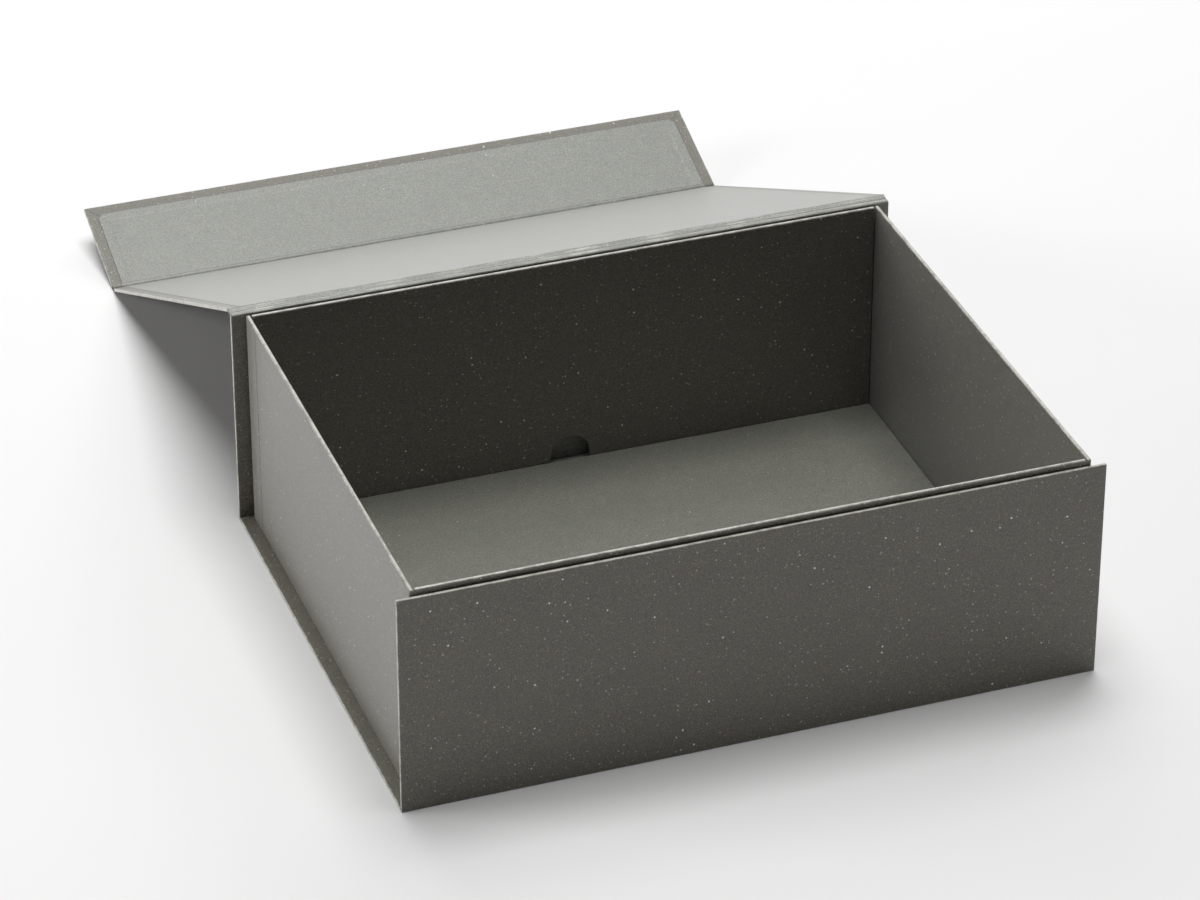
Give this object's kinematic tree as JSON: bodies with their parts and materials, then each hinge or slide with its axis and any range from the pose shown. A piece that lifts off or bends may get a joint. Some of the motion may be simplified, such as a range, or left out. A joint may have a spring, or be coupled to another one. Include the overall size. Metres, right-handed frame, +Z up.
{
  "type": "archival storage box",
  "caption": "Large flat storage box of paper-covered board: a hinged lid with a magnetic closing flap, an open tray inside and a loose base board that lifts out by a thumb notch.",
  "frame": {"origin": "middle of the case's footprint, on the surface that the box stands on", "axes": "+X to the right seen from the front, +Y from the front panel to the back panel, +Z up"},
  "size_m": [0.46, 0.7558, 0.1576],
  "materials": {
    "cover_paper": "matte recycled paper with light flecks",
    "liner_paper": "matte recycled paper, finer and paler, with sparse flecks",
    "greyboard": "raw grey board",
    "mounting_tape": "double-sided tissue tape",
    "magnet_plating": "nickel-plated disc magnet",
    "keeper_steel": "plain steel plate"
  },
  "bodies": {
    "case": {"back_board": "greyboard", "back_cover": "cover_paper", "back_foot_fold": "cover_paper", "back_liner": "liner_paper", "bottom_board": "greyboard", "bottom_cover": "cover_paper", "bottom_liner": "liner_paper", "front_board": "greyboard", "front_cover": "cover_paper", "front_foot_fold": "cover_paper", "front_liner": "liner_paper", "keeper_plate_left": "keeper_steel", "keeper_plate_right": "keeper_steel", "mounting_tape_lower": "mounting_tape", "mounting_tape_upper": "mounting_tape", "tray_back_board": "greyboard", "tray_back_wrap": "liner_paper", "tray_corner_back_left": "liner_paper", "tray_corner_back_right": "liner_paper", "tray_corner_front_left": "liner_paper", "tray_corner_front_right": "liner_paper", "tray_front_board": "greyboard", "tray_front_wrap": "liner_paper", "tray_left_board": "greyboard", "tray_left_wrap": "liner_paper", "tray_right_board": "greyboard", "tray_right_wrap": "liner_paper"},
    "hinge_gutter": {"hinge_gutter_liner": "liner_paper", "hinge_gutter_paper": "cover_paper"},
    "lid": {"lid_board": "greyboard", "lid_cover": "cover_paper", "lid_liner": "liner_paper"},
    "flap": {"flap_board": "greyboard", "flap_cover": "cover_paper", "flap_hinge_paper": "cover_paper", "flap_liner": "liner_paper", "flap_magnet_left": "magnet_plating", "flap_magnet_right": "magnet_plating"},
    "loose_base": {"loose_base_board": "greyboard", "loose_base_cover": "liner_paper"}
  },
  "joints": [
    {"name": "lid_hinge", "type": "hinge", "parent": "case", "child": "hinge_gutter", "pos_m": [0, 0.17733, 0.156], "axis": [1, 0, 0], "range_deg": [0, 136.41]},
    {"name": "gutter_fold", "type": "hinge", "parent": "hinge_gutter", "child": "lid", "pos_m": [0, 0.18241, 0.15556], "axis": [1, 0, 0], "range_deg": [0, 69.69], "deforming": ["hinge_gutter_liner"]},
    {"name": "flap_hinge", "type": "hinge", "parent": "lid", "child": "flap", "pos_m": [0, 0.50096, 0.00069], "axis": [1, 0, 0], "range_deg": [-16.5, 45.6], "deforming": ["flap_hinge_paper"]},
    {"name": "loose_base_lift", "type": "slide", "parent": "case", "child": "loose_base", "axis": [0, 0, 1], "range_m": [0, 0.15]}
  ]
}
